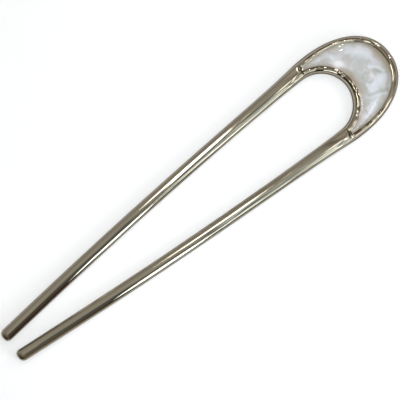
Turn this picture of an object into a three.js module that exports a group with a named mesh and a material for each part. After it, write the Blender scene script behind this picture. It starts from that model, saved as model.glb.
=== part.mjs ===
// U-shaped hair pin: a cast metal frame with two converging legs and a crescent tray in its head,
// a pearl resin inlay poured into the tray, and a clear resin dome over the inlay.
//
// Millimetres. The pin lies on its back: +X runs from the leg tips to the crown, +Y across the legs
// and +Z out of the face. The origin is under the middle of the pin, on the surface that it lies on.

import * as THREE from "three";

// Plan of the pin, seen from the face
const PIN_LENGTH = 110; // leg tips to crown
const HEAD_WIDTH = 22.4; // across the shoulders, the widest place
const SHOULDER_REACH = 16.4; // crown back to the shoulders
const CROWN_SQUARENESS = 2.2; // exponent of the crown's superellipse, 2 for a plain ellipse
const CROWN_BAND = 12.5; // head on the centre line, from the bend to the crown
const BEND_RADIUS = 7.2; // inside of the bend between the legs
const TIP_GAP = 2.6; // between the two leg tips
const GAP_EASE = 1.5; // exponent of the gap's narrowing towards the tips, 1 for straight legs

// Legs
const LEG_WIDTH = 3;
const LEG_THICKNESS = 2.7;
const LEG_SQUARENESS = 2.3; // exponent of the oval section
const TIP_LENGTH = 1.5; // rounded end of a leg
const TIP_BLUNTNESS = 2.6; // exponent of the rounded end, 2 for a plain ellipse
const ROOT_LENGTH = 14; // stretch in which a leg thickens towards the head
const TURN_LENGTH = 5; // stretch after it in which the oval turns into the head's section

// Head section, across the band between the bend and the outline
const HEAD_THICKNESS = 3.2; // back to the crest of the rim
const LIP_RISE = 0.25; // crest of the rim above the roots of the legs
const WIDEST_HEIGHT = 1.2; // height at which the flanks stand out furthest
const BACK_EDGE = 0.7; // rounded edge of the flat back, measured across
const OUTER_RIM = 1.7; // metal between the outline and the tray
const OUTER_CREST = 1; // outline to the crest of the rim
const INNER_RIM = 1.65; // metal between the bend and the tray
const INNER_CREST = 1.2; // bend to the crest of the rim

// Tray
const TRAY_FLOOR = 1.1; // metal left under the tray
const WALL_DRAFT = 0.12; // how much the walls lean in from top to floor
const LIP_DROP = 0.18; // crest of the rim down to the top of the wall
const HORN_WIDTH = 0.8; // tray at the blunt ends of the crescent
const HORN_BEAD = 0.9; // rim that closes the end of a horn

// Resin
const DOME_EDGE = 0.25; // thickness of the clear dome at its edge
const DOME_RISE = 0.38; // crown of the dome above its edge, at its widest place
const DOME_FLATNESS = 2.2; // exponent of the dome's crown, 2 for a plain parabola
const FIT_GAP = 0.05; // between the resin and the walls of the tray

// Steps of the lofts
const TIP_STEPS = 5;
const LEG_STEPS = 14;
const ROOT_STEPS = 5;
const TURN_STEPS = 5;
const HEAD_STEPS = 30;
const DOME_STEPS = 8;
const SEARCH_TOLERANCE = 0.0005;

// Places that follow from the sizes
const CROWN_X = PIN_LENGTH / 2;
const TIP_X = CROWN_X - PIN_LENGTH;
const SHOULDER_X = CROWN_X - SHOULDER_REACH;
const BEND_X = CROWN_X - CROWN_BAND - BEND_RADIUS;
const LEG_RUN = BEND_X - TIP_X;
const WALL_TOP = HEAD_THICKNESS - LIP_DROP;
const PEARL_TOP = WALL_TOP - DOME_EDGE;
const HORN_SECTION = OUTER_RIM + HORN_WIDTH + INNER_RIM;

const lerp = THREE.MathUtils.lerp;
const smoothstep = THREE.MathUtils.smoothstep;

function signedPower(value, exponent) {
  return Math.sign(value) * Math.abs(value) ** exponent;
}

// Plan outline of one half of the pin. The crown is a superellipse about the shoulders, which runs on
// behind them to the level of the bend's centre, where the leg takes over.
function crownPoint(angle) {
  const exponent = 2 / CROWN_SQUARENESS;
  const x = SHOULDER_X + SHOULDER_REACH * signedPower(Math.cos(angle), exponent);
  const y = (HEAD_WIDTH / 2) * signedPower(Math.sin(angle), exponent);
  return new THREE.Vector2(x, y);
}

const ROOT_REACH = (BEND_X - SHOULDER_X) / SHOULDER_REACH;
const ROOT_ANGLE = Math.acos(signedPower(ROOT_REACH, CROWN_SQUARENESS / 2));
const ROOT_WIDTH = crownPoint(ROOT_ANGLE).y - BEND_RADIUS;

// Slope of the crown's outline where the leg takes over, so that the leg's outer edge flows into it.
const ROOT_SLOPE =
  ((-HEAD_WIDTH / 2 / SHOULDER_REACH) * signedPower(ROOT_REACH, CROWN_SQUARENESS - 1)) /
  (1 - Math.abs(ROOT_REACH) ** CROWN_SQUARENESS) ** (1 - 1 / CROWN_SQUARENESS);

// The leg keeps its width for most of its length, then flares to the root's width and slope.
const FLARE_ONSET = 6;
const FLARE_FINISH = 12;

function legWidth(share) {
  const flare = ROOT_WIDTH - LEG_WIDTH;
  const late = (ROOT_SLOPE * LEG_RUN - FLARE_ONSET * flare) / (FLARE_FINISH - FLARE_ONSET);
  return LEG_WIDTH + (flare - late) * share ** FLARE_ONSET + late * share ** FLARE_FINISH;
}

function halfGap(share) {
  return lerp(TIP_GAP / 2, BEND_RADIUS, 1 - (1 - share) ** GAP_EASE);
}

// A span is a straight line across the metal, from the gap's edge to the outline.
function legSpan(run) {
  const share = run / LEG_RUN;
  const inner = new THREE.Vector2(TIP_X + run, halfGap(share));
  const outer = new THREE.Vector2(inner.x, inner.y + legWidth(share));
  return { inner, outer };
}

function headSpan(share) {
  const outer = crownPoint(ROOT_ANGLE * (1 - share));
  const centre = new THREE.Vector2(BEND_X, 0);
  const inner = outer.clone().sub(centre).setLength(BEND_RADIUS).add(centre);
  return { inner, outer };
}

// Middle line of the head, from the root of a leg to the centre line of the pin.
class HeadMiddle extends THREE.Curve {
  getPoint(share, target = new THREE.Vector2()) {
    const { inner, outer } = headSpan(share);
    return target.copy(inner).lerp(outer, 0.5);
  }
}

const headMiddle = new HeadMiddle();
const HEAD_RUN = headMiddle.getLength();
const HALF_RUN = LEG_RUN + HEAD_RUN;

// The span at a distance along the half pin, from the leg's tip to the middle of the crown, which
// rounding could otherwise put a hair past the end of the middle line.
function spanAt(run) {
  const headShare = Math.min((run - LEG_RUN) / HEAD_RUN, 1);
  return headShare <= 0 ? legSpan(run) : headSpan(headMiddle.getUtoTmapping(headShare));
}

function spanWidth(span) {
  return span.inner.distanceTo(span.outer);
}

// The horns of the tray end where the head has become wide enough for both rims and the horn.
function findHorn() {
  let narrow = LEG_RUN;
  let wide = HALF_RUN;
  while (wide - narrow > SEARCH_TOLERANCE) {
    const run = (narrow + wide) / 2;
    if (spanWidth(spanAt(run)) < HORN_SECTION) {
      narrow = run;
    } else {
      wide = run;
    }
  }
  return wide;
}

const HORN_RUN = findHorn();
const BEAD_RUN = HORN_RUN - HORN_BEAD;
const TURN_RUN = BEAD_RUN - TURN_LENGTH;
const ROOT_RUN = TURN_RUN - ROOT_LENGTH;
const TRAY_RUN = HORN_RUN + WALL_DRAFT;

// Stretches of half a section, from the middle of the back round one flank to the middle of the face:
// the steps in each, and where it begins on the leg's oval, in degrees round from the back.
const STRETCHES = [
  { name: "back", steps: 2, ovalFrom: 0 },
  { name: "heel", steps: 4, ovalFrom: 25 },
  { name: "flank", steps: 5, ovalFrom: 90 },
  { name: "lip", steps: 3, ovalFrom: 145 },
  { name: "wall", steps: 1, ovalFrom: 158 },
  { name: "floor", steps: 2, ovalFrom: 164 },
  { name: "middle", steps: 1, ovalFrom: 180 },
];

// A point of a leg's oval, as a distance in from the flank and a height.
function ovalPoint(width, thickness, degrees) {
  const angle = THREE.MathUtils.degToRad(degrees);
  const across = signedPower(Math.sin(angle), 2 / LEG_SQUARENESS);
  const up = signedPower(Math.cos(angle), 2 / LEG_SQUARENESS);
  return new THREE.Vector2((width / 2) * (1 - across), (thickness / 2) * (1 - up));
}

// A point of the head's section on one stretch. Quarter ellipses form the back's edge, the flank and
// the lip. Before the horn there is no tray, and the face is flat between the crests.
function headPoint(form, rim, crestInset, stretch, share) {
  const fit = Math.min(1, form.width / HORN_SECTION);
  const rise = Math.sin((share * Math.PI) / 2);
  const fall = 1 - Math.cos((share * Math.PI) / 2);
  const middle = form.width / 2;
  const drop = form.open ? LIP_DROP : 0;
  const floor = form.open ? TRAY_FLOOR : form.crest;
  const shapes = {
    back: () => [lerp(middle, BACK_EDGE * fit, share), 0],
    heel: () => [BACK_EDGE * fit * (1 - rise), WIDEST_HEIGHT * fall],
    flank: () => [crestInset * fit * fall, lerp(WIDEST_HEIGHT, form.crest, rise)],
    lip: () => [lerp(crestInset, rim, rise) * fit, form.crest - drop * fall],
    wall: () => [rim * fit, form.crest - drop],
    floor: () => [lerp((rim + WALL_DRAFT) * fit, middle, share), floor],
    middle: () => [middle, floor],
  };
  return new THREE.Vector2(...shapes[stretch]());
}

function halfSection(form, rim, crestInset) {
  const points = [];
  STRETCHES.forEach(({ name, steps, ovalFrom }, index) => {
    const ovalTo = STRETCHES[index + 1]?.ovalFrom ?? ovalFrom;
    for (let step = 0; step < steps; step += 1) {
      const share = step / steps;
      const head = headPoint(form, rim, crestInset, name, share);
      const oval = ovalPoint(form.width, form.crest, lerp(ovalFrom, ovalTo, share));
      points.push(head.lerp(oval, form.ovalShare));
    }
  });
  return points;
}

// Sections are closed loops of distances out from the gap's edge and heights, anticlockwise as seen by
// someone whom the loft comes towards.
function frameSection(run, tipScale, open) {
  const width = spanWidth(spanAt(run));
  const rootShare = smoothstep(run, ROOT_RUN, TURN_RUN);
  const turnShare = smoothstep(run, TURN_RUN, BEAD_RUN);
  const beadShare = smoothstep(run, BEAD_RUN, BEAD_RUN + HORN_BEAD / 2);
  const rootThickness = HEAD_THICKNESS - LIP_RISE;
  const crest = lerp(LEG_THICKNESS, rootThickness, rootShare) + LIP_RISE * beadShare;
  const form = { width, crest, open, ovalShare: 1 - turnShare };
  const outerHalf = halfSection(form, OUTER_RIM, OUTER_CREST);
  const innerHalf = halfSection(form, INNER_RIM, INNER_CREST).slice(1, -1).reverse();
  const loop = outerHalf.map(({ x, y }) => new THREE.Vector2(width - x, y)).concat(innerHalf);
  const centre = new THREE.Vector2(width / 2, crest / 2);
  return loop.map((point) => point.sub(centre).multiplyScalar(tipScale).add(centre));
}

// Edges of the resin at a height, clear of the leaning walls: next to the bend and next to the outline.
function resinEdges(width, height) {
  const lean = (WALL_DRAFT * (WALL_TOP - height)) / (WALL_TOP - TRAY_FLOOR);
  const near = new THREE.Vector2(INNER_RIM + lean + FIT_GAP, height);
  const far = new THREE.Vector2(width - OUTER_RIM - lean - FIT_GAP, height);
  return { near, far };
}

function pearlSection(run) {
  const width = spanWidth(spanAt(run));
  const bottom = resinEdges(width, TRAY_FLOOR);
  const top = resinEdges(width, PEARL_TOP);
  return [bottom.near, bottom.far, top.far, top.near];
}

// The dome rises most where the tray is widest and lies almost flat in the horns.
function domeSection(run) {
  const width = spanWidth(spanAt(run));
  const trayShare = (width - OUTER_RIM - INNER_RIM) / (CROWN_BAND - OUTER_RIM - INNER_RIM);
  const rise = DOME_RISE * (1 - (1 - trayShare) ** 2);
  const bottom = resinEdges(width, PEARL_TOP);
  const edge = resinEdges(width, WALL_TOP);
  const loop = [bottom.near, bottom.far];
  for (let step = 0; step <= DOME_STEPS; step += 1) {
    const share = step / DOME_STEPS;
    const crown = 1 - Math.abs(2 * share - 1) ** DOME_FLATNESS;
    const point = edge.far.clone().lerp(edge.near, share);
    point.y += rise * crown;
    loop.push(point);
  }
  return loop;
}

// Places a section's loop on the span at a run. Side 1 is the +Y half of the pin, side -1 the other.
function placeLoop(loop, run, side) {
  const { inner, outer } = spanAt(run);
  const across = outer.clone().sub(inner).normalize();
  return loop.map(({ x: distance, y: height }) => {
    const place = inner.clone().addScaledVector(across, distance);
    return new THREE.Vector3(place.x, side * place.y, height);
  });
}

// Rings of both halves in one order, from the +Y tip over the crown to the -Y tip. Stations run from
// the tip of a leg to the crown's middle, whose ring is shared.
function bothHalves(stations) {
  const rings = stations.map(({ run, loop }) => placeLoop(loop, run, 1));
  const mirrored = stations.slice(0, -1).map(({ run, loop }) => placeLoop(loop, run, -1));
  return rings.concat(mirrored.reverse());
}

// A closed loft over rings with equal counts, ending in a point at each end.
function loft(rings, startPoint, endPoint) {
  const count = rings[0].length;
  const corners = [startPoint, ...rings.flat(), endPoint];
  const corner = (ring, index) => 1 + ring * count + (index % count);
  const faces = [];
  for (let index = 0; index < count; index += 1) {
    faces.push(0, corner(0, index + 1), corner(0, index));
    for (let ring = 0; ring + 1 < rings.length; ring += 1) {
      faces.push(corner(ring, index), corner(ring, index + 1), corner(ring + 1, index + 1));
      faces.push(corner(ring, index), corner(ring + 1, index + 1), corner(ring + 1, index));
    }
    faces.push(corners.length - 1, corner(rings.length - 1, index), corner(rings.length - 1, index + 1));
  }
  const geometry = new THREE.BufferGeometry().setFromPoints(corners);
  geometry.setIndex(faces);
  geometry.computeVertexNormals();
  return geometry;
}

function ringCentre(ring) {
  const sum = ring.reduce((total, point) => total.add(point), new THREE.Vector3());
  return sum.divideScalar(ring.length);
}

function evenRuns(from, to, steps) {
  return Array.from({ length: steps }, (_, step) => lerp(from, to, (step + 1) / steps));
}

// The frame: rounded tips, oval legs, roots that grow into the head, the bead that closes each horn,
// and the open tray between the horns.
function frameGeometry() {
  const stations = [];
  for (let step = 1; step <= TIP_STEPS; step += 1) {
    const angle = ((step / TIP_STEPS) * Math.PI) / 2;
    const run = TIP_LENGTH * (1 - signedPower(Math.cos(angle), 2 / TIP_BLUNTNESS));
    const tipScale = signedPower(Math.sin(angle), 2 / TIP_BLUNTNESS);
    stations.push({ run, loop: frameSection(run, tipScale, false) });
  }
  const closedRuns = [
    ...evenRuns(TIP_LENGTH, ROOT_RUN, LEG_STEPS),
    ...evenRuns(ROOT_RUN, TURN_RUN, ROOT_STEPS),
    ...evenRuns(TURN_RUN, BEAD_RUN, TURN_STEPS),
    BEAD_RUN + HORN_BEAD / 2,
    HORN_RUN,
  ];
  const openRuns = [TRAY_RUN, ...evenRuns(TRAY_RUN, HALF_RUN, HEAD_STEPS)];
  closedRuns.forEach((run) => stations.push({ run, loop: frameSection(run, 1, false) }));
  openRuns.forEach((run) => stations.push({ run, loop: frameSection(run, 1, true) }));
  const tip = legSpan(0);
  const tipY = (tip.inner.y + tip.outer.y) / 2;
  const startPoint = new THREE.Vector3(TIP_X, tipY, LEG_THICKNESS / 2);
  const endPoint = new THREE.Vector3(TIP_X, -tipY, LEG_THICKNESS / 2);
  return loft(bothHalves(stations), startPoint, endPoint);
}

// A resin layer fills the tray from horn to horn.
function resinGeometry(section) {
  const firstRun = TRAY_RUN + FIT_GAP;
  const runs = [firstRun, ...evenRuns(TRAY_RUN, HALF_RUN, HEAD_STEPS)];
  const rings = bothHalves(runs.map((run) => ({ run, loop: section(run) })));
  return loft(rings, ringCentre(rings[0]), ringCentre(rings[rings.length - 1]));
}

const platedZinc = new THREE.MeshStandardMaterial({ color: 0xa19a8b, metalness: 1, roughness: 0.12 });
const pearlResin = new THREE.MeshStandardMaterial({ color: 0xe2e6ea, metalness: 0, roughness: 0.25 });
const clearResin = new THREE.MeshStandardMaterial({
  color: 0xffffff,
  metalness: 0,
  roughness: 0.05,
  transparent: true,
  opacity: 0.25,
});

function namedMesh(name, geometry, material) {
  const mesh = new THREE.Mesh(geometry, material);
  mesh.name = name;
  return mesh;
}

const hairPin = new THREE.Group();
hairPin.name = "hair_pin";
hairPin.add(
  namedMesh("cast_frame", frameGeometry(), platedZinc),
  namedMesh("pearl_inlay", resinGeometry(pearlSection), pearlResin),
  namedMesh("clear_dome", resinGeometry(domeSection), clearResin),
);

export default hairPin;
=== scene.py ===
"""Looks of a U-shaped hair pin: a polished casting, a pearl resin inlay and a clear dome over it.

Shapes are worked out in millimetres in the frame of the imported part, +X from the leg tips to the crown,
+Y across the legs and +Z out of the face, and turn into metres when a mesh is made.
"""
import math

import bmesh
import bpy
import numpy as np
from mathutils import Matrix, Vector


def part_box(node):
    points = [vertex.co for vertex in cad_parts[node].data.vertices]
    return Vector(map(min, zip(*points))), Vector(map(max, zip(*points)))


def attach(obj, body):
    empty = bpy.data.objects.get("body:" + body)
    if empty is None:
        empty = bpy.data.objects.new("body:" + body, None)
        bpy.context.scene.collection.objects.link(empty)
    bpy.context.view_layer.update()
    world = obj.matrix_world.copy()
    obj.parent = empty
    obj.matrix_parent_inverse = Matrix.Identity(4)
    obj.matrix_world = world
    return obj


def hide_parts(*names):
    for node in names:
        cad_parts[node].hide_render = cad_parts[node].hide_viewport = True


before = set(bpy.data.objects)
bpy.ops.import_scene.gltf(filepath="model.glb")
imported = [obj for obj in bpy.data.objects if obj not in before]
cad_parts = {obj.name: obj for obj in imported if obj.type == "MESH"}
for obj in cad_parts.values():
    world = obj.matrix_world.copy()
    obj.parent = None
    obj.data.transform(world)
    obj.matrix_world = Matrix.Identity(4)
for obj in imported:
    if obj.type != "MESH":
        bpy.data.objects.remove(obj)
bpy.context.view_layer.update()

MM = 0.001  # metres in a millimetre


def node_box(node):
    """Low and high corner of a CAD node's box, in millimetres."""
    return [np.array(corner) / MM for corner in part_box(node)]


# Sizes that the frame gives
frame_low, frame_high = node_box("cast_frame")
pearl_low, pearl_high = node_box("pearl_inlay")
_, dome_high = node_box("clear_dome")
TIP_X = frame_low[0]
CROWN_X = frame_high[0]
HEAD_WIDTH = frame_high[1] - frame_low[1]
HEAD_THICKNESS = frame_high[2]
TRAY_FLOOR = pearl_low[2]
PEARL_TOP = pearl_high[2]
DOME_TOP = dome_high[2]

# Plan of the pin, seen from the face
SHOULDER_REACH = 16.4  # crown back to the shoulders, the widest place
CROWN_SQUARENESS = 2.2  # exponent of the crown's superellipse
CROWN_BAND = 12.5  # head on the centre line, from the bend to the crown
BEND_RADIUS = 7.2  # inside of the bend between the legs
TIP_GAP = 2.6  # between the two leg tips
GAP_EASE = 1.5  # exponent of the gap's narrowing towards the tips
FLARE_ONSET = 6  # exponents of the leg's widening towards the head
FLARE_FINISH = 12

# Legs
LEG_WIDTH = 3.0
LEG_THICKNESS = 2.7
LEG_SQUARENESS = 2.3  # exponent of the oval section
TIP_LENGTH = 1.5  # rounded end of a leg
TIP_BLUNTNESS = 2.6  # exponent of the rounded end
ROOT_LENGTH = 14.0  # stretch in which a leg thickens towards the head
TURN_LENGTH = 5.0  # stretch after it in which the oval turns into the head's section

# Section of the head, across the band between the bend and the outline
LIP_RISE = 0.25  # crest of the rim above the roots of the legs
WIDEST_HEIGHT = 1.2  # height at which the flanks stand out furthest
BACK_EDGE = 0.7  # rounded edge of the flat back, measured across
OUTER_RIM = 1.7  # outline to the tray
OUTER_CREST = 1.0  # outline to the crest of the rim
INNER_RIM = 1.65  # bend to the tray
INNER_CREST = 1.2  # bend to the crest of the rim
WALL_DRAFT = 0.12  # how much the tray's walls lean in from top to floor
LIP_DROP = 0.18  # crest of the rim down to the top of the wall
HORN_WIDTH = 0.8  # tray where its ends begin
HORN_SQUARENESS = 4  # exponent of the rounding of its ends
HORN_BEAD = 0.9  # rim round the end of a horn
BEAD_SLOPE = 0.35  # width of the bead's fall to the root of the leg
DOME_FLATNESS = 2.2  # exponent of the dome's crown
RESIN_SEAT = 0.03  # how far the resin reaches into the metal, and the dome into the pearl

# Places that follow from the sizes
SHOULDER_X = CROWN_X - SHOULDER_REACH
BEND_X = CROWN_X - CROWN_BAND - BEND_RADIUS
LEG_RUN = BEND_X - TIP_X
WALL_TOP = HEAD_THICKNESS - LIP_DROP
ROOT_THICKNESS = HEAD_THICKNESS - LIP_RISE
HORN_SECTION = OUTER_RIM + HORN_WIDTH + INNER_RIM
HORN_RADIUS = HORN_WIDTH / 2

# Steps of the lofts along half the pin, and across the resin
TIP_STEPS = 14
LEG_STEPS = 150
ROOT_STEPS = 60
HORN_STEPS = 30
HEAD_STEPS = 120
RESIN_STEPS = 48
HEAD_SAMPLES = 4001  # points that measure the head's middle line


def signed_power(value, exponent):
    """The value's size raised to the exponent, with the value's sign kept."""
    return np.sign(value) * np.abs(value) ** exponent


def smooth(value, low, high):
    """Rises from 0 at low to 1 at high as 3 t squared less 2 t cubed."""
    t = np.clip((value - low) / (high - low), 0, 1)
    return t * t * (3 - 2 * t)


def lerp(start, end, share):
    """The value that lies at a share of the way from start to end."""
    return start + (end - start) * share


# Plan of half the pin


def crown_outline(angle):
    """A superellipse about the shoulders: the angle's cosine and sine, each to the power 2 / n."""
    exponent = 2 / CROWN_SQUARENESS
    x = SHOULDER_X + SHOULDER_REACH * signed_power(np.cos(angle), exponent)
    y = HEAD_WIDTH / 2 * signed_power(np.sin(angle), exponent)
    return np.stack([x, y], axis=-1)


# Where the head meets the legs: place on the outline, width of the metal, slope of the outline
ROOT_REACH = (BEND_X - SHOULDER_X) / SHOULDER_REACH
ROOT_ANGLE = math.acos(signed_power(ROOT_REACH, CROWN_SQUARENESS / 2))
ROOT_WIDTH = crown_outline(ROOT_ANGLE)[1] - BEND_RADIUS
ROOT_SLOPE = -HEAD_WIDTH / 2 / SHOULDER_REACH * signed_power(ROOT_REACH, CROWN_SQUARENESS - 1)
ROOT_SLOPE /= (1 - abs(ROOT_REACH) ** CROWN_SQUARENESS) ** (1 - 1 / CROWN_SQUARENESS)


def leg_edges(run):
    """Inner and outer edge of a leg. The gap opens as 1 - (1 - t) to a power. The width keeps its size,
    then grows by two powers of t that meet the head's width and slope."""
    share = np.clip(run / LEG_RUN, 0, 1)
    flare = ROOT_WIDTH - LEG_WIDTH
    late = (ROOT_SLOPE * LEG_RUN - FLARE_ONSET * flare) / (FLARE_FINISH - FLARE_ONSET)
    width = LEG_WIDTH + (flare - late) * share**FLARE_ONSET + late * share**FLARE_FINISH
    inner_y = lerp(TIP_GAP / 2, BEND_RADIUS, 1 - (1 - share) ** GAP_EASE)
    x = TIP_X + run
    return np.stack([x, inner_y], axis=-1), np.stack([x, inner_y + width], axis=-1)


def head_edges(share):
    """Inner and outer edge of the head: a point of the crown's outline, and the point of the bend's
    circle on the ray to it."""
    outer = crown_outline(ROOT_ANGLE * (1 - share))
    ray = outer - [BEND_X, 0]
    inner = [BEND_X, 0] + BEND_RADIUS * ray / np.linalg.norm(ray, axis=-1, keepdims=True)
    return inner, outer


# Length along the middle line of the head, and the runs at which the horn and the root begin. A run is
# the distance along half the pin, from a tip to the crown.
head_shares = np.linspace(0, 1, HEAD_SAMPLES)
head_inner, head_outer = head_edges(head_shares)
head_steps = np.linalg.norm(np.diff((head_inner + head_outer) / 2, axis=0), axis=1)
head_lengths = np.concatenate([[0], np.cumsum(head_steps)])
head_widths = np.linalg.norm(head_outer - head_inner, axis=1)
HALF_RUN = LEG_RUN + head_lengths[-1]
HORN_RUN = LEG_RUN + np.interp(HORN_SECTION, head_widths, head_lengths)
BEAD_RUN = HORN_RUN - HORN_BEAD
TURN_RUN = BEAD_RUN - TURN_LENGTH
ROOT_RUN = TURN_RUN - ROOT_LENGTH


def span_edges(run):
    """Inner and outer edge of the metal at each run."""
    leg_inner, leg_outer = leg_edges(run)
    inner, outer = head_edges(np.interp(run - LEG_RUN, head_lengths, head_shares))
    on_leg = (run <= LEG_RUN)[:, None]
    return np.where(on_leg, leg_inner, inner), np.where(on_leg, leg_outer, outer)


def span_width(run):
    """Width of the metal at each run, from its inner to its outer edge."""
    inner, outer = span_edges(run)
    return np.linalg.norm(outer - inner, axis=1)


def tray_halves(run):
    """Half widths of the tray between its rims, and of its wall, which closes the horn in a quarter
    superellipse: half width times 1 - (1 - t) to the n, to the power 1 / n."""
    half_tray = (span_width(run) - OUTER_RIM - INNER_RIM) / 2
    ease = 1 - np.clip((run - HORN_RUN) / HORN_RADIUS, 0, 1)
    return half_tray, half_tray * (1 - ease**HORN_SQUARENESS) ** (1 / HORN_SQUARENESS)


def both_halves(run, across, height):
    """Rings from the +Y end over the crown to the -Y end. Each section lies on the straight line across
    the metal at its run, with across measured from the gap's edge. The last run is the crown's middle."""
    inner, outer = span_edges(run)
    direction = (outer - inner) / np.linalg.norm(outer - inner, axis=1, keepdims=True)
    plan = inner[:, None] + across[..., None] * direction[:, None]
    rings = np.concatenate([plan, height[..., None]], axis=-1)
    return np.concatenate([rings, rings[-2::-1] * [1, -1, 1]])


# Section of the casting

# Stretches of half a section, from the middle of the back round one flank to the middle of the face:
# the steps in each, and where it begins on the leg's oval, in degrees round from the back
STRETCHES = {
    "back": (4, 0),
    "heel": (10, 25),
    "flank": (18, 90),
    "shelf": (4, 142),
    "lip": (8, 150),
    "wall": (3, 163),
    "floor": (4, 168),
}
FACE_MIDDLE = 180
# Slow waves that hand polishing leaves: length, turns round the section, start in radians
POLISH_HEIGHT = 0.012
POLISH_WAVES = [(17.3, 1, 0.4), (11.3, -2, 1.9), (61.0, 9, 4.1), (43.0, 13, 2.6)]
# Unevenness of the cast rim along the pin: length, start in radians, share of the height
RIPPLE_HEIGHT = 0.022
RIPPLE_WAVES = [(3.7, 0.5, 1.0), (2.6, 2.2, 0.8), (5.3, 4.0, 0.8)]


def face_height(depth, beside, half_tray, lip, root_top):
    """Height of the casting's face at a distance beside the tray's middle line.

    It follows the distance to the rim's crest, which runs beside the tray and closes round the horn in
    a superellipse: outside the crest it falls to the root of the leg, inside by a quarter ellipse over the
    lip to the top of the wall."""
    reach = half_tray + lip
    ahead = (HORN_RADIUS - depth) / (HORN_RADIUS + lip)
    powers = np.abs(ahead) ** HORN_SQUARENESS + np.abs(beside / reach) ** HORN_SQUARENESS
    round_horn = (powers ** (1 / HORN_SQUARENESS) - 1) * (HORN_RADIUS + lip)
    off_crest = np.where(ahead > 0, round_horn, beside - reach)
    bead = LIP_RISE * (1 - smooth(off_crest, 0, BEAD_SLOPE))
    inside = np.clip(-off_crest / lip, 0, 1)
    return root_top + bead - LIP_DROP * (1 - np.sqrt(1 - inside**2))


def half_section(run, rim, crest_inset):
    """Half of the casting's section at each run, as distances in from the flank and heights.

    The back is flat, and its edge, the flank and the lip are quarter ellipses. The tray's wall leans in
    to its floor. Towards the tips the section turns into an oval, which is a superellipse."""
    run = run[:, None]
    width = span_width(run[:, 0])[:, None]
    half_tray, wall_half = (half[:, None] for half in tray_halves(run[:, 0]))
    depth = run - HORN_RUN
    lip = rim - crest_inset
    middle = rim + half_tray
    fit = np.minimum(1, width / HORN_SECTION)
    root_top = lerp(LEG_THICKNESS, ROOT_THICKNESS, smooth(run, ROOT_RUN, TURN_RUN))
    turn_share = smooth(run, TURN_RUN, BEAD_RUN)

    def face(inset):
        """Height of the face at a distance in from the flank."""
        return face_height(depth, middle - inset, half_tray, lip, root_top)

    def floor(inset):
        """Height of the tray's floor, and of the face where there is no tray."""
        return np.where(depth > 0, TRAY_FLOOR, face(inset))

    # Lines of the face: the crest and the wall close to the middle at the horn, and before it they
    # spread again over the plain root of the leg
    spread = smooth(-depth - lip, 0, HORN_BEAD)
    ahead = np.clip((HORN_RADIUS - depth) / (HORN_RADIUS + lip), 0, 1)
    edge = crest_inset * fit
    closing = (1 - ahead**HORN_SQUARENESS) ** (1 / HORN_SQUARENESS)
    crest = lerp(middle, edge, np.maximum(closing, spread))
    wall = middle - np.maximum(wall_half, half_tray * spread)
    foot = np.minimum(wall + WALL_DRAFT * (depth > 0), middle)

    share = {}
    for name, (steps, _) in STRETCHES.items():
        share[name] = np.linspace(0, 1, steps, endpoint=False)[None]
    rise = {name: np.sin(t * math.pi / 2) for name, t in share.items()}
    fall = {name: 1 - np.cos(t * math.pi / 2) for name, t in share.items()}
    shelf = lerp(edge, crest, share["shelf"])
    lip_line = lerp(crest, wall, rise["lip"])
    floor_line = lerp(foot, middle, share["floor"])
    stretches = [
        (lerp(middle, BACK_EDGE * fit, share["back"]), np.zeros_like(run)),
        (BACK_EDGE * fit * (1 - rise["heel"]), WIDEST_HEIGHT * fall["heel"]),
        (edge * fall["flank"], lerp(WIDEST_HEIGHT, face(edge), rise["flank"])),
        (shelf, face(shelf)),
        (lip_line, face(lip_line)),
        (lerp(wall, foot, share["wall"]), lerp(face(wall), floor(foot), share["wall"])),
        (floor_line, floor(floor_line)),
        (middle, floor(middle)),
    ]
    stretches = [np.broadcast_arrays(*pair) for pair in stretches]
    head_inset, head_height = (np.concatenate(part, axis=1) for part in zip(*stretches))

    starts = [start for _, start in STRETCHES.values()] + [FACE_MIDDLE]
    degrees = [lerp(a, b, t[0]) for a, b, t in zip(starts, starts[1:], share.values())] + [[FACE_MIDDLE]]
    angle = np.radians(np.concatenate(degrees))[None]
    oval_inset = width / 2 * (1 - signed_power(np.sin(angle), 2 / LEG_SQUARENESS))
    oval_height = root_top / 2 * (1 - signed_power(np.cos(angle), 2 / LEG_SQUARENESS))
    return lerp(oval_inset, head_inset, turn_share), lerp(oval_height, head_height, turn_share)


def polish_wave(run, around):
    """Mean of the slow waves over the casting: sines that run along it and turn round it."""
    total = 0
    for length, turns, start in POLISH_WAVES:
        total = total + np.sin(2 * math.pi * run / length + turns * around + start)
    return total / len(POLISH_WAVES)


def rim_ripple(run, height):
    """Unevenness of the cast rim: sines along the whole pin, on the head and near its face only."""
    ripple = 0
    for length, start, share in RIPPLE_WAVES:
        ripple = ripple + share * np.sin(2 * math.pi * run / length + start)
    on_head = smooth(run, BEAD_RUN, HORN_RUN) * smooth(2 * HALF_RUN - run, BEAD_RUN, HORN_RUN)
    return RIPPLE_HEIGHT * (ripple * on_head)[:, None] * smooth(height, WIDEST_HEIGHT, HEAD_THICKNESS)


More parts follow.
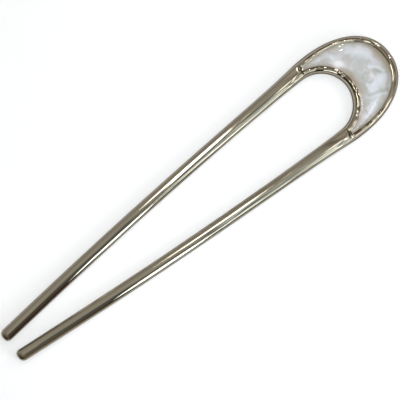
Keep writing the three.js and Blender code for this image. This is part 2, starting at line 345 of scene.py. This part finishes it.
def frame_rings():
    """Rings of the casting: rounded tips, whose sections shrink by a superellipse, then the legs, their
    roots, the beads round the horns and the open tray. Polishing waves swell each section about its
    middle, and the rim's unevenness is added to the height."""
    turn = np.linspace(0, math.pi / 2, TIP_STEPS + 1)[1:]
    tip_runs = TIP_LENGTH * (1 - signed_power(np.cos(turn), 2 / TIP_BLUNTNESS))
    tip_scale = signed_power(np.sin(turn), 2 / TIP_BLUNTNESS)
    marks = [TIP_LENGTH, ROOT_RUN, BEAD_RUN, HORN_RUN + HORN_RADIUS, HALF_RUN]
    steps = [LEG_STEPS, ROOT_STEPS, HORN_STEPS, HEAD_STEPS]
    stretches = [np.linspace(a, b, n + 1)[1:] for a, b, n in zip(marks, marks[1:], steps)]
    run = np.concatenate([tip_runs, *stretches])
    scale = np.ones_like(run)
    scale[:TIP_STEPS] = tip_scale

    outer_inset, outer_height = half_section(run, OUTER_RIM, OUTER_CREST)
    inner_inset, inner_height = half_section(run, INNER_RIM, INNER_CREST)
    width = span_width(run)[:, None]
    across = np.concatenate([width - outer_inset, inner_inset[:, -2:0:-1]], axis=1)
    height = np.concatenate([outer_height, inner_height[:, -2:0:-1]], axis=1)

    middle_across = width / 2
    middle_height = height.max(axis=1, keepdims=True) / 2
    around = np.arctan2(height - middle_height, across - middle_across)
    above = smooth(height, 0, WIDEST_HEIGHT)
    swell = 1 + POLISH_HEIGHT * above * polish_wave(run[:, None], around) / middle_height
    across = middle_across + (across - middle_across) * scale[:, None] * swell
    height = middle_height + (height - middle_height) * scale[:, None] * swell
    rings = both_halves(run, across, height)
    whole_run = np.concatenate([run, 2 * HALF_RUN - run[-2::-1]])
    rings[..., 2] += rim_ripple(whole_run, rings[..., 2])
    return rings


# Layers of resin


def resin_runs():
    """Runs of the resin from the end of the horn to the crown, close together where the horn is round."""
    turn = np.linspace(0, math.pi / 2, HORN_STEPS)
    horn = HORN_RUN + HORN_RADIUS * (1 - np.cos(turn))
    return np.concatenate([horn, np.linspace(horn[-1], HALF_RUN, HEAD_STEPS + 1)[1:]])


def resin_edges(run):
    """Distances from the gap's edge to the two sides of the resin, a little inside the walls."""
    half_tray, wall_half = tray_halves(run)
    middle = INNER_RIM + half_tray
    return middle - wall_half - RESIN_SEAT, middle + wall_half + RESIN_SEAT


def resin_rings(bottom, edge, rise):
    """Rings of a resin layer from a flat bottom to a top whose crown falls to both edges as 1 - |s| to a
    power, and rises most where the tray is widest. Also gives each point's distance in from the walls."""
    run = resin_runs()
    near, far = (side[:, None] for side in resin_edges(run))
    share = np.linspace(0, 1, RESIN_STEPS + 1)[None]
    tray_share = np.minimum((far - near) / (CROWN_BAND - OUTER_RIM - INNER_RIM), 1)
    crown = (1 - (1 - tray_share) ** 2) * (1 - np.abs(2 * share - 1) ** DOME_FLATNESS)
    across = np.concatenate([near, far, lerp(far, near, share)], axis=1)
    height = np.concatenate([np.full((len(run), 2), bottom), edge + rise * crown], axis=1)
    inward = np.minimum(across - near, far - across)
    return both_halves(run, across, height), np.concatenate([inward, inward[-2::-1]])


# Pattern of the pearl resin, after the photograph, in millimetres

# Milky patches: place, half sizes, turn of the long side from +X in degrees, weight
MILK = [
    (49.6, 4.2, 2.5, 1.4, -48, 1.0),
    (51.0, 1.6, 1.5, 0.5, 90, 0.8),
    (48.3, -3.9, 2.4, 1.4, 22, 1.2),
    (44.2, -7.4, 2.2, 0.9, 12, 1.3),
    (40.6, -8.6, 1.6, 0.5, 5, 0.6),
    (43.6, 7.2, 1.7, 0.7, -60, 0.7),
    (41.0, 8.8, 2.4, 0.6, -5, 0.8),
    (48.7, 2.1, 0.6, 0.5, 0, -0.6),
    (46.8, 0.6, 2.2, 1.0, 90, -0.3),
]
# Painted sheen, in the same form; the long lavender patch is a painted reflection of a bluish light
PAINTED_SHEEN = [
    (44.0, 5.0, 1.8, 0.6, -51, 1.3),
    (48.6, -1.7, 0.8, 0.45, 90, 0.7),
    (41.5, -8.2, 1.4, 0.5, 5, 0.4),
]
# Painted shade, brown, under the crown and beside the bend, besides the painted shade of the edges, in the
# same form
PAINTED_SHADE = [
    (52.6, 0.3, 5.5, 1.0, 90, 0.6),
    (50.0, -8.2, 3.0, 0.7, -55, 0.15),
    (45.3, -2.4, 2.2, 0.7, 90, 0.25),
    (46.2, 4.3, 1.2, 0.8, 0, 0.25),
    (44.6, 0.6, 3.0, 0.6, 90, 0.5),
    (46.5, 9.0, 3.0, 0.5, -20, 0.5),
]
# Grey-green lines where two pours met: start, bend, end, width, weight
VEINS = [
    ((50.5, -2.2), (49.9, -1.5), (49.5, -0.8), 0.32, 0.5),
    ((51.8, -2.8), (50.8, -5.0), (49.2, -6.2), 0.35, 0.7),
    ((49.2, -6.2), (47.4, -5.9), (45.2, -4.7), 0.45, 0.45),
    ((48.5, -1.0), (47.6, 0.4), (46.5, -1.0), 0.25, 0.3),
    ((46.5, -1.0), (46.2, -2.6), (47.7, -2.7), 0.25, 0.3),
    ((42.6, -7.2), (42.0, -8.0), (42.4, -8.8), 0.2, 0.6),
    ((51.2, 6.0), (48.5, 8.6), (45.0, 8.9), 0.3, 0.4),
]
# Bright lines of thick pigment, in the same form
GLEAMS = [
    ((51.6, -2.4), (50.4, -1.1), (49.0, 0.4), 0.3, 0.9),
    ((46.1, -2.6), (45.9, -3.9), (47.3, -5.1), 0.3, 0.6),
    ((48.6, -6.8), (46.8, -6.5), (45.0, -5.5), 0.22, 0.5),
]
LINE_STEPS = 24  # points along a line
STIR = 0.2  # how far the stirring pushed the pattern about
STIR_ALONG = (0.6, 1.7, 0.0)  # sine that pushes along X: its turn per millimetre of X and Y, and its start
STIR_ACROSS = (1.3, -0.9, 1.0)  # the same along Y
EDGE_SHADE = 0.8  # width of the painted shade along the edges, where the dome bends the light to the walls


def soft_ovals(x, y, table):
    """Sum of soft spots, each with its weight times e to the minus square of the place in its oval."""
    total = np.zeros_like(x)
    for centre_x, centre_y, long, wide, degrees, weight in table:
        turn = math.radians(degrees)
        along = (x - centre_x) * math.cos(turn) + (y - centre_y) * math.sin(turn)
        aside = (y - centre_y) * math.cos(turn) - (x - centre_x) * math.sin(turn)
        total += weight * np.exp(-((along / long) ** 2) - (aside / wide) ** 2)
    return total


def flow_lines(x, y, table):
    """Sum of soft lines along quadratic curves, each with its weight times e to the minus square of the
    distance over its width."""
    t = np.linspace(0, 1, LINE_STEPS)[:, None]
    total = np.zeros_like(x)
    for start, bend, end, width, weight in table:
        line = (1 - t) ** 2 * start + 2 * t * (1 - t) * np.array(bend) + t**2 * end
        gap = np.hypot(x[..., None] - line[:, 0], y[..., None] - line[:, 1]).min(axis=-1)
        total += weight * np.exp(-((gap / width) ** 2))
    return total


def stirred(x, y):
    """Places pushed along X and along Y by a sine of the place."""
    push_x, push_y = (np.sin(a * x + b * y + start) for a, b, start in (STIR_ALONG, STIR_ACROSS))
    return x + STIR * push_x, y + STIR * push_y


def pearl_pattern(rings, inward):
    """Values of the pattern at each point: milk, painted sheen and veins, read at stirred places, and the
    painted shade of the edges, which falls as e to the minus distance, with more painted shade in ovals."""
    x, y = stirred(rings[..., 0], rings[..., 1])
    return {
        "milk": soft_ovals(x, y, MILK) + flow_lines(x, y, GLEAMS),
        "painted_sheen": soft_ovals(x, y, PAINTED_SHEEN),
        "vein": flow_lines(x, y, VEINS),
        # painted shade along the walls, and the painted shade ovals
        "edge": np.exp(-inward / EDGE_SHADE) + soft_ovals(x, y, PAINTED_SHADE),
    }


# Meshes

MERGE_DISTANCE = 0.002  # points of the lofts that meet at a horn or a tip become one
METAL_CREASE = 60  # edges that turn by more degrees than this stay sharp
RESIN_CREASE = 30
UV_NAME = "along_and_round"


def skin_faces(count, around):
    """Quads between the rings, then a fan from the first ring and one from the last ring to two more
    points at the end of the list."""
    ring, place = np.meshgrid(np.arange(count - 1), np.arange(around), indexing="ij")
    following = (place + 1) % around
    corners = [(ring, place), (ring, following), (ring + 1, following), (ring + 1, place)]
    quads = np.stack([row * around + column for row, column in corners], axis=-1).reshape(-1, 4)
    index = np.arange(around)
    first_middle = np.full(around, count * around)
    first = np.stack([first_middle, np.roll(index, -1), index], axis=1)
    last_ring = (count - 1) * around + index
    last = np.stack([first_middle + 1, last_ring, np.roll(last_ring, -1)], axis=1)
    return quads.tolist() + first.tolist() + last.tolist()


def skin_uv(rings):
    """UV of the corners of those faces: the distance along the rings, and the share round them of their
    mean girth, both in metres."""
    count, around = rings.shape[:2]
    ring, place = np.meshgrid(np.arange(count - 1), np.arange(around), indexing="ij")
    steps = np.linalg.norm(np.diff(rings.mean(axis=1), axis=0), axis=1)
    along = np.concatenate([[0], np.cumsum(steps)]) * MM
    girth = np.linalg.norm(rings - np.roll(rings, 1, axis=1), axis=2).sum(axis=1).mean() * MM
    round_share = np.linspace(0, girth, around + 1)
    u = np.stack([along[ring], along[ring], along[ring + 1], along[ring + 1]], axis=-1)
    near, far = round_share[place], round_share[place + 1]
    v = np.stack([near, far, far, near], axis=-1)
    quad_uv = np.stack([u, v], axis=-1).reshape(-1, 2)
    first_uv = np.stack([np.zeros(3 * around), round_share[:-1].repeat(3)], axis=1)
    last_uv = first_uv + [along[-1], 0]
    return np.concatenate([quad_uv, first_uv, last_uv])


def closed_piece(name, rings, crease, values):
    """A closed skin over rings with equal counts, with a fan to the middle of the first and last ring.
    Each value becomes an attribute of the points."""
    points = np.concatenate([rings.reshape(-1, 3), rings[[0, -1]].mean(axis=1)]) * MM
    mesh = bpy.data.meshes.new(name)
    mesh.from_pydata(points.tolist(), [], skin_faces(*rings.shape[:2]))
    uv = skin_uv(rings).astype(np.float32)
    mesh.uv_layers.new(name=UV_NAME).data.foreach_set("uv", uv.ravel())
    for label, value in values.items():
        at_points = np.concatenate([value.ravel(), value[[0, -1]].mean(axis=1)]).astype(np.float32)
        mesh.attributes.new(label, "FLOAT", "POINT").data.foreach_set("value", at_points)

    merged = bmesh.new()
    merged.from_mesh(mesh)
    bmesh.ops.remove_doubles(merged, verts=merged.verts, dist=MERGE_DISTANCE * MM)
    merged.to_mesh(mesh)
    merged.free()
    mesh.shade_smooth()
    mesh.set_sharp_from_angle(angle=math.radians(crease))
    piece = bpy.data.objects.new(name, mesh)
    bpy.context.scene.collection.objects.link(piece)
    return piece


# Materials

NOISE_LOW = 0.3  # nearly all values of a noise texture lie between these
NOISE_HIGH = 0.7

# Plated zinc: tones at the low and high end of the rub marks, and the tint at grazing angles
METAL_TONES = [(NOISE_LOW, "9C9586"), (NOISE_HIGH, "A69F90")]
METAL_EDGE = "5A4A38"
METAL_SMOOTHEST = 0.015  # roughness at the low and high end of the rub marks
METAL_ROUGHEST = 0.04
RUB_LENGTH = 16.0  # rub marks of the polishing, in millimetres, drawn as coarse as they need to show
RUB_WIDTH = 0.3
RUB_DEPTH = 0.006
RUB_DETAIL = 3.0

# Pearl resin: ground to milk by the milk's value, and the tints of the other values in their order: veins,
# painted shade, painted sheen
PEARL_TONES = [(0.0, "C6C9C8"), (0.35, "D6DBE1"), (0.9, "E6EBF2")]
PEARL_TINTS = [("vein", "9AA3A1"), ("edge", "A89C8A"), ("painted_sheen", "FBFAFF")]
PEARL_ROUGHNESS = 0.35
SWIRL_SIZE = 3.0  # swirls that push the wisps about by up to the push, in millimetres
SWIRL_PUSH = 4.0
SWIRL_DETAIL = 2.0
WISP_SIZE = 2.2  # wisps that add to the milk's value or take from it by up to the weight
WISP_WEIGHT = 0.45
WISP_DETAIL = 3.0
LAVENDER = "E2DCEA"
LAVENDER_SIZE = 1.5  # patches of a lavender hue, in millimetres
LAVENDER_LOW = 0.48  # value of the noise at which the hue begins, and at which it has its full weight
LAVENDER_HIGH = 0.7
LAVENDER_WEIGHT = 0.45
LAVENDER_DETAIL = 1.0

# Clear epoxy
EPOXY_COLOUR = "FEFFFF"
EPOXY_ROUGHNESS = 0.02
EPOXY_IOR = 1.5
EPOXY_ALPHA = 0.6  # light that refraction alone would keep from the pearl passes straight through


def linear(hex_colour):
    """sRGB hex to linear red, green, blue and an alpha of 1, by the curve of the sRGB standard."""
    srgb = np.array([int(hex_colour[i : i + 2], 16) / 255 for i in (0, 2, 4)])
    channels = np.where(srgb <= 0.04045, srgb / 12.92, ((srgb + 0.055) / 1.055) ** 2.4)
    return [*channels, 1.0]


def per_mm(size):
    """Scale of a texture whose pattern repeats about every size millimetres."""
    return 1 / (size * MM)


def add(tree, kind, inputs=(), stops=(), **settings):
    """Adds a node, sets its properties, fills its inputs with values or with other nodes' outputs, and
    gives a colour ramp its stops."""
    node = tree.nodes.new(kind)
    for name, value in settings.items():
        setattr(node, name, value)
    for name, value in dict(inputs).items():
        if isinstance(value, bpy.types.NodeSocket):
            tree.links.new(value, node.inputs[name])
        else:
            node.inputs[name].default_value = value
    for index, (position, colour) in enumerate(stops):
        elements = node.color_ramp.elements
        element = elements[index] if index < len(elements) else elements.new(position)
        element.position = position
        element.color = colour
    return node


def new_material(name):
    """A material with an empty node tree."""
    material = bpy.data.materials.new(name)
    material.use_nodes = True
    material.node_tree.nodes.clear()
    return material, material.node_tree


def tone_stops(table):
    """Stops of a colour ramp from positions and sRGB hex colours."""
    return [(position, linear(hex_colour)) for position, hex_colour in table]


def plated_zinc():
    """Zinc die casting, hand polished and plated in a warm champagne silver. It mirrors the studio as
    long streaks, with faint rub marks along the casting and a darker, browner edge at grazing angles."""
    material, tree = new_material("plated_zinc")
    place = add(tree, "ShaderNodeUVMap", uv_map=UV_NAME).outputs["UV"]
    stretch = (per_mm(RUB_LENGTH), per_mm(RUB_WIDTH), 1)
    rubbed = add(tree, "ShaderNodeMapping", {"Vector": place, "Scale": stretch}).outputs["Vector"]
    marks = add(tree, "ShaderNodeTexNoise", {"Vector": rubbed, "Scale": 1.0, "Detail": RUB_DETAIL})
    rub = marks.outputs["Fac"]
    tone = add(tree, "ShaderNodeValToRGB", {"Fac": rub}, stops=tone_stops(METAL_TONES))
    gloss = add(
        tree,
        "ShaderNodeMapRange",
        {
            "Value": rub,
            "From Min": NOISE_LOW,
            "From Max": NOISE_HIGH,
            "To Min": METAL_SMOOTHEST,
            "To Max": METAL_ROUGHEST,
        },
    )
    bump = add(tree, "ShaderNodeBump", {"Height": rub, "Strength": 1.0, "Distance": RUB_DEPTH * MM})
    shader = add(
        tree,
        "ShaderNodeBsdfPrincipled",
        {
            "Base Color": tone.outputs["Color"],
            "Metallic": 1.0,
            "Roughness": gloss.outputs["Result"],
            "Specular Tint": linear(METAL_EDGE),
            "Normal": bump.outputs["Normal"],
        },
    )
    add(tree, "ShaderNodeOutputMaterial", {"Surface": shader.outputs["BSDF"]})
    return material


def pearl_resin():
    """Polyester resin with stirred-in pearl pigment. Milky blue-white clouds lie in a greyer ground, with
    lavender patches in places, a painted sheen, thin grey-green lines where two pours met, and a painted
    shade along the walls."""
    material, tree = new_material("pearl_resin")
    place = add(tree, "ShaderNodeTexCoord").outputs["Object"]
    swirl = add(
        tree,
        "ShaderNodeTexNoise",
        {"Vector": place, "Scale": per_mm(SWIRL_SIZE), "Detail": SWIRL_DETAIL},
    )
    pushed = add(
        tree,
        "ShaderNodeVectorMath",
        {0: swirl.outputs["Color"], 1: (SWIRL_PUSH * MM, SWIRL_PUSH * MM, 0), 2: place},
        operation="MULTIPLY_ADD",
    ).outputs["Vector"]
    cloud = add(
        tree,
        "ShaderNodeTexNoise",
        {"Vector": pushed, "Scale": per_mm(WISP_SIZE), "Detail": WISP_DETAIL},
    )
    wisps = add(
        tree,
        "ShaderNodeMapRange",
        {
            "Value": cloud.outputs["Fac"],
            "From Min": NOISE_LOW,
            "From Max": NOISE_HIGH,
            "To Min": -WISP_WEIGHT,
            "To Max": WISP_WEIGHT,
        },
    )
    hue = add(
        tree,
        "ShaderNodeTexNoise",
        {"Vector": pushed, "Scale": per_mm(LAVENDER_SIZE), "Detail": LAVENDER_DETAIL},
    )
    lavender = add(
        tree,
        "ShaderNodeMapRange",
        {
            "Value": hue.outputs["Fac"],
            "From Min": LAVENDER_LOW,
            "From Max": LAVENDER_HIGH,
            "To Min": 0.0,
            "To Max": LAVENDER_WEIGHT,
        },
    )
    drawn = {}
    for name in ("milk", "vein", "edge", "painted_sheen"):
        drawn[name] = add(tree, "ShaderNodeAttribute", attribute_name=name).outputs["Fac"]
    milk = add(tree, "ShaderNodeMath", {0: drawn["milk"], 1: wisps.outputs["Result"]}, operation="ADD")
    ground = add(
        tree,
        "ShaderNodeValToRGB",
        {"Fac": milk.outputs["Value"]},
        stops=tone_stops(PEARL_TONES),
    )
    colour = ground.outputs["Color"]
    tints = [(lavender.outputs["Result"], LAVENDER)]
    tints += [(drawn[name], tint) for name, tint in PEARL_TINTS]
    for share, tint in tints:
        mixed = add(
            tree,
            "ShaderNodeMix",
            {"Factor": share, "A": colour, "B": linear(tint)},
            data_type="RGBA",
        )
        colour = mixed.outputs["Result"]
    shader = add(tree, "ShaderNodeBsdfPrincipled", {"Base Color": colour, "Roughness": PEARL_ROUGHNESS})
    add(tree, "ShaderNodeOutputMaterial", {"Surface": shader.outputs["BSDF"]})
    return material


def clear_epoxy():
    """Doming epoxy, poured and self-levelled. Clear and glossy, it mirrors the lamps on a smooth crown and
    leaves the pearl under it bright."""
    material, tree = new_material("clear_epoxy")
    shader = add(
        tree,
        "ShaderNodeBsdfPrincipled",
        {
            "Base Color": linear(EPOXY_COLOUR),
            "Roughness": EPOXY_ROUGHNESS,
            "IOR": EPOXY_IOR,
            "Transmission Weight": 1.0,
            "Alpha": EPOXY_ALPHA,
        },
    )
    add(tree, "ShaderNodeOutputMaterial", {"Surface": shader.outputs["BSDF"]})
    return material


# Pieces


def dress(name, node, rings, crease, material, values=()):
    """Makes a piece that stands for a CAD node and rides with the pin."""
    piece = closed_piece(name, rings, crease, dict(values))
    piece.data.materials.append(material)
    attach(piece, "root")
    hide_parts(node)


pearl_skin, pearl_inward = resin_rings(bottom=TRAY_FLOOR, edge=PEARL_TOP, rise=0)
dome_skin, _ = resin_rings(bottom=PEARL_TOP - RESIN_SEAT, edge=WALL_TOP, rise=DOME_TOP - WALL_TOP)
dress("cast_frame_polished", "cast_frame", frame_rings(), METAL_CREASE, plated_zinc())
dress(
    "pearl_inlay_swirled",
    "pearl_inlay",
    pearl_skin,
    RESIN_CREASE,
    pearl_resin(),
    pearl_pattern(pearl_skin, pearl_inward),
)
dress("clear_dome_gloss", "clear_dome", dome_skin, RESIN_CREASE, clear_epoxy())

# Studio

# Tints of the walls and lamps, linear
WHITE = (1.0, 1.0, 1.0)
BEIGE = (1.0, 0.96, 0.875)
COOL = (0.84, 0.95, 1.0)
OLIVE = (1.0, 0.88, 0.62)
BROWN = (1.0, 0.75, 0.6)
PALE_BLUE = (0.94, 0.98, 1.0)

# Walls over the legs: sideways part of the direction, from +Y to -Y, with brightness and tint
LEG_WALLS = [
    (1.0, 0.42, BEIGE),
    (0.93, 0.47, BEIGE),
    (0.6, 0.62, BEIGE),
    (0.1, 0.7, BEIGE),
    (-0.04, 0.66, BEIGE),
    (-0.08, 0.28, COOL),
    (-0.35, 0.2, COOL),
    (-0.42, 0.18, BROWN),
    (-0.75, 0.13, BROWN),
    (-0.95, 0.04, BROWN),
]
# The same over the head, brown except for a low beige wall on the +Y side
HEAD_WALLS = [
    (1.0, 0.45, BEIGE),
    (0.93, 0.55, BEIGE),
    (0.88, 0.55, BEIGE),
    (0.84, 0.26, BROWN),
    (-0.75, 0.22, BROWN),
    (-0.95, 0.04, BROWN),
]
# The same beyond the two ends, by the part of the direction along a slanted line, from crown to tips
END_WALLS = [
    (1.0, 0.6, BEIGE),
    (0.5, 0.45, BEIGE),
    (-0.2, 0.5, BEIGE),
    (-0.35, 0.3, OLIVE),
    (-0.68, 0.26, OLIVE),
    (-0.74, 0.03, BROWN),
    (-1.0, 0.03, BROWN),
]
END_SLANT = (0.9, 0.44, 0)  # that line, turned so that the dark walls beyond the tips stand on the -Y side
# Lengthways part of the direction at which other walls begin to take over, and at which they have
HEAD_BEGINS = (0.085, 0.1)
CROWN_BEGINS = (0.5, 0.7)
TIPS_BEGIN = (-0.14, -0.2)

# Lamps: name, place, length and width in millimetres, level, tint, outline
LEG_LAMPS = [
    ("streak_lamp", (1, 36, 146), (37, 46), 6, WHITE, "ELLIPSE"),  # main streak of both legs
    ("low_lamp", (-21, -47, 39), (27, 38), 5, COOL, "ELLIPSE"),  # lower streak, nearer to the tips
    ("side_panel", (50, -96, 115), (140, 210), 0.42, COOL, "ELLIPSE"),  # dull light beside the streaks
]
HEAD_LAMPS = [
    ("edge_strip", (85, -282, 101), (185, 40), 3, WHITE, "RECTANGLE"),  # edges of the roots
    ("flank_panel", (146, -260, 132), (120, 110), 5, WHITE, "ELLIPSE"),  # line along the right rim
    ("rim_panel", (93, -98, 590), (84, 76), 3.2, WHITE, "ELLIPSE"),  # left rim and the roots
    ("crown_lamp_0", (266, 57, 205), (40, 9), 60, WHITE, "ELLIPSE"),  # pairs of dots on the crown's rim
    ("crown_lamp_1", (259, 75, 206), (40, 9), 60, WHITE, "ELLIPSE"),
    ("crown_lamp_2", (274, -18, 203), (40, 9), 60, WHITE, "ELLIPSE"),
    ("crown_lamp_3", (271, -37, 204), (40, 9), 60, WHITE, "ELLIPSE"),
    ("dot_lamp_low", (216, 248, 526), (16, 16), 400, WHITE, "RECTANGLE"),  # pair of dots on the dome
    ("dot_lamp_high", (161, 132, 579), (16, 16), 80, WHITE, "RECTANGLE"),
]
FILL_LAMP = ("fill_lamp", (0, 450, 780), (1400, 1400), 0.43, PALE_BLUE, "RECTANGLE")
# Row of strip lamps on the -Y side over the upper legs: from and to in degrees off the vertical, level
STRIPS = [(8, 11, 1.4), (29, 35, 2.4), (53, 62, 3.6)]
STRIP_X = 30  # middle of the strips
STRIP_LENGTH = 96
STRIP_DISTANCE = 135  # from the line of the legs

FLOOR_SIZE = 4000  # side of the card under the pin
FLOOR_GAP = 0.03  # keeps the floor out of the plane of the flat back
FLOOR_WHITE = "F7FAFE"
FLOOR_ROUGHNESS = 0.9
GLOW_WHITE = "FFFFFF"
FLOOR_GLOW = 0.5  # share of the card's white that the eye and the mirrors see without any light on it

IMAGE_PIXELS = 400  # width of the photograph
MM_PER_PIXEL = 0.2291  # at the pin
PHOTO_ROLL = math.radians(38.0)  # pin's length above the picture's horizontal
CAMERA_DISTANCE = 400.0  # from the aim, in millimetres
AIM_HEIGHT = 1.4  # above the surface that the pin lies on


def matt_white_card():
    """White card without gloss. A part of its white is its own, for the eye and for what mirrors or
    refracts it, so the background is white at a plain light while the rest keeps the pin's shadow."""
    material, tree = new_material("matt_white_card")
    card = add(
        tree,
        "ShaderNodeBsdfPrincipled",
        {"Base Color": linear(FLOOR_WHITE), "Roughness": FLOOR_ROUGHNESS, "Specular IOR Level": 0.0},
    )
    glow = add(tree, "ShaderNodeEmission", {"Color": linear(GLOW_WHITE), "Strength": 1.0})
    rays = add(tree, "ShaderNodeLightPath").outputs
    seen = rays["Is Camera Ray"]
    for kind in ("Is Glossy Ray", "Is Transmission Ray"):
        seen = add(tree, "ShaderNodeMath", {0: seen, 1: rays[kind]}, operation="MAXIMUM").outputs["Value"]
    share = add(tree, "ShaderNodeMath", {0: seen, 1: FLOOR_GLOW}, operation="MULTIPLY")
    shader = add(
        tree,
        "ShaderNodeMixShader",
        {0: share.outputs["Value"], 1: card.outputs["BSDF"], 2: glow.outputs["Emission"]},
    )
    add(tree, "ShaderNodeOutputMaterial", {"Surface": shader.outputs["Shader"]})
    return material


def pale_floor():
    """One large square of the card under the pin."""
    corners = np.array([[-1, -1, 0], [1, -1, 0], [1, 1, 0], [-1, 1, 0]]) * FLOOR_SIZE / 2 * MM
    corners[:, 2] = -FLOOR_GAP * MM
    mesh = bpy.data.meshes.new("floor")
    mesh.from_pydata(corners.tolist(), [], [[0, 1, 2, 3]])
    mesh.materials.append(matt_white_card())
    floor = bpy.data.objects.new("floor", mesh)
    bpy.context.scene.collection.objects.link(floor)


def soft_box(name, place, size, level, tint, outline, mirrored=True):
    """A flat lamp at a place that faces the middle of the pin, with its length square to Y. Its power is
    its level times pi times its length and width, so the level is the radiance of a rectangle, and pi / 4
    of the radiance of an ellipse. A lamp that isn't mirrored only lights."""
    lamp = bpy.data.lights.new(name, "AREA")
    lamp.shape = outline
    lamp.size, lamp.size_y = size[0] * MM, size[1] * MM
    lamp.energy = level * math.pi * lamp.size * lamp.size_y
    lamp.color = tint
    holder = bpy.data.objects.new(name, lamp)
    back = Vector(place).normalized()
    side = Vector((0, 1, 0)).cross(back).normalized()
    turn = Matrix([side, back.cross(side), back]).transposed()
    holder.matrix_world = Matrix.Translation(Vector(place) * MM) @ turn.to_4x4()
    holder.visible_camera = False
    holder.visible_glossy = mirrored
    bpy.context.scene.collection.objects.link(holder)


def strip_lamps():
    """Rows of lamps on an arc about the line of the legs, each as wide as its part of the arc is long."""
    rows = []
    for index, (top, bottom, level) in enumerate(STRIPS):
        middle = math.radians((top + bottom) / 2)
        width = STRIP_DISTANCE * math.radians(bottom - top)
        place = (STRIP_X, -STRIP_DISTANCE * math.sin(middle), STRIP_DISTANCE * math.cos(middle))
        rows.append((f"strip_{index}", place, (STRIP_LENGTH, width), level, COOL, "ELLIPSE"))
    return rows


def wall_colour(tree, part, table):
    """Colour of the walls by one part of the direction, from +1 down to -1."""
    share = add(
        tree,
        "ShaderNodeMapRange",
        {"Value": part, "From Min": 1.0, "From Max": -1.0, "To Min": 0.0, "To Max": 1.0},
    )
    stops = [((1 - at) / 2, [level * channel for channel in tint] + [1]) for at, level, tint in table]
    return add(tree, "ShaderNodeValToRGB", {"Fac": share.outputs["Result"]}, stops=stops).outputs["Color"]


def studio_world():
    """Walls of the studio by direction. Over the legs they are beige on the +Y side and dark on the -Y
    side, brown walls take over above the head, and slanted walls beyond the crown and beyond the tips."""
    world = bpy.data.worlds.new("studio")
    world.use_nodes = True
    tree = world.node_tree
    tree.nodes.clear()
    direction = add(tree, "ShaderNodeTexCoord").outputs["Generated"]
    parts = add(tree, "ShaderNodeSeparateXYZ", {"Vector": direction})
    along, across = parts.outputs["X"], parts.outputs["Y"]
    slanted = add(tree, "ShaderNodeVectorMath", {0: direction, 1: END_SLANT}, operation="DOT_PRODUCT")
    ends = wall_colour(tree, slanted.outputs["Value"], END_WALLS)
    head = wall_colour(tree, across, HEAD_WALLS)
    colour = wall_colour(tree, across, LEG_WALLS)
    for (begins, done), wall in ((HEAD_BEGINS, head), (CROWN_BEGINS, ends), (TIPS_BEGIN, ends)):
        share = add(
            tree,
            "ShaderNodeMapRange",
            {"Value": along, "From Min": begins, "From Max": done},
            interpolation_type="SMOOTHSTEP",
        )
        mixed = add(
            tree,
            "ShaderNodeMix",
            {"Factor": share.outputs["Result"], "A": colour, "B": wall},
            data_type="RGBA",
        )
        colour = mixed.outputs["Result"]
    background = add(tree, "ShaderNodeBackground", {"Color": colour, "Strength": 1.0})
    add(tree, "ShaderNodeOutputWorld", {"Surface": background.outputs["Background"]})
    bpy.context.scene.world = world


def photo_camera():
    """A long lens straight above the pin, rolled so that the pin lies along the diagonal."""
    camera = bpy.data.cameras.new("camera")
    camera.lens = camera.sensor_width * CAMERA_DISTANCE / (IMAGE_PIXELS * MM_PER_PIXEL)
    holder = bpy.data.objects.new("camera", camera)
    right = Vector((math.cos(PHOTO_ROLL), -math.sin(PHOTO_ROLL), 0))
    up = Vector((math.sin(PHOTO_ROLL), math.cos(PHOTO_ROLL), 0))
    back = Vector((0, 0, 1))
    turn = Matrix([right, up, back]).transposed()
    place = back * (AIM_HEIGHT + CAMERA_DISTANCE) * MM
    holder.matrix_world = Matrix.Translation(place) @ turn.to_4x4()
    bpy.context.scene.collection.objects.link(holder)
    bpy.context.scene.camera = holder


pale_floor()
studio_world()
for lamp_row in [*LEG_LAMPS, *strip_lamps(), *HEAD_LAMPS]:
    soft_box(*lamp_row)
soft_box(*FILL_LAMP, mirrored=False)
photo_camera()
bpy.context.scene.view_settings.view_transform = "Standard"
